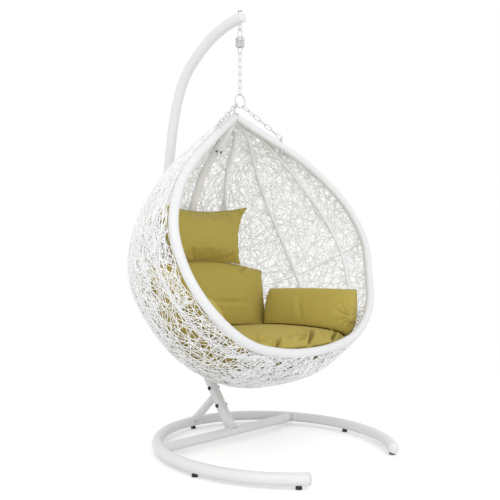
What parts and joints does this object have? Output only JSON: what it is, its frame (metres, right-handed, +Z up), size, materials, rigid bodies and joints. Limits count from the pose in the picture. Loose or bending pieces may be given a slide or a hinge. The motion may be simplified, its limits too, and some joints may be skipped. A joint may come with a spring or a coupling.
{
  "type": "hanging chair",
  "caption": "Woven egg-shaped hanging chair with cushions, hung by chains and a coil spring from a bent mast on an open ring base.",
  "frame": {"origin": "on the floor, under the middle of the whole chair's bounding box", "axes": "+Z up, +Y towards the mast at the rear, the seat opens towards -Y, X across the seat"},
  "size_m": [1.2128, 1.1989, 1.9512],
  "materials": {
    "stand_paint": "satin",
    "white_plug": "satin",
    "black_rubber": "matte",
    "dark_steel": "satin",
    "zinc_steel": "satin",
    "chain_paint": "satin",
    "white_wicker": "satin",
    "olive_fabric": "matte"
  },
  "bodies": {
    "stand": {"base_ring": "stand_paint", "ring_cap_left": "white_plug", "ring_cap_right": "white_plug", "cross_bar": "stand_paint", "post": "stand_paint", "rear_brace": "stand_paint", "mast": "stand_paint", "mast_end_cap": "white_plug", "foot_rear": "black_rubber", "foot_left": "black_rubber", "foot_right": "black_rubber", "foot_front_left": "black_rubber", "foot_front_right": "black_rubber", "clamp_bolt_lower": "dark_steel", "clamp_bolt_upper": "dark_steel", "eye_bolt": "chain_paint", "eye_nut": "zinc_steel"},
    "hanger_top": {"upper_drawbar": "chain_paint", "coil_spring": "chain_paint"},
    "hanger_low": {"lower_drawbar": "chain_paint", "chain_link_1": "chain_paint"},
    "chain": {"chain_link_2": "chain_paint", "chain_link_3": "chain_paint", "chain_link_4": "chain_paint", "chain_link_5": "chain_paint", "chain_link_6": "chain_paint"},
    "basket": {"suspension_ring": "chain_paint", "left_chain_1": "chain_paint", "left_chain_2": "chain_paint", "left_chain_3": "chain_paint", "left_chain_4": "chain_paint", "left_chain_5": "chain_paint", "left_chain_6": "chain_paint", "left_chain_7": "chain_paint", "right_chain_1": "chain_paint", "right_chain_2": "chain_paint", "right_chain_3": "chain_paint", "right_chain_4": "chain_paint", "right_chain_5": "chain_paint", "right_chain_6": "chain_paint", "right_chain_7": "chain_paint", "rear_chain_1": "chain_paint", "rear_chain_2": "chain_paint", "rear_chain_3": "chain_paint", "rear_chain_4": "chain_paint", "rear_chain_5": "chain_paint", "u_bolt_left": "chain_paint", "u_bolt_right": "chain_paint", "u_bolt_rear": "dark_steel", "front_rim": "white_wicker", "keel": "white_wicker", "rib_fan_left": "white_wicker", "rib_fan_right": "white_wicker", "weave_left": "white_wicker", "weave_right": "white_wicker", "seat_cushion": "olive_fabric", "back_cushion": "olive_fabric", "head_pillow": "olive_fabric", "arm_cushion_left": "olive_fabric", "arm_cushion_right": "olive_fabric"}
  },
  "joints": [
    {"name": "side_swing", "type": "hinge", "parent": "stand", "child": "hanger_top", "pos_m": [0, 0.0375, 1.853], "axis": [0, 1, 0], "range_deg": [-5, 5]},
    {"name": "spring_bounce", "type": "slide", "parent": "hanger_top", "child": "hanger_low", "axis": [0, 0, -1], "range_m": [0, 0.012], "stiffness_N_per_m": 100000, "springref_m": -0.0049, "deforming": ["coil_spring"]},
    {"name": "fore_swing", "type": "hinge", "parent": "hanger_low", "child": "chain", "pos_m": [0, 0.0375, 1.7147], "axis": [1, 0, 0], "range_deg": [-16, 1]},
    {"name": "swivel", "type": "hinge", "parent": "chain", "child": "basket", "pos_m": [0, 0.0375, 1.5586], "axis": [0, 0, 1], "range_deg": [-20, 20]}
  ]
}
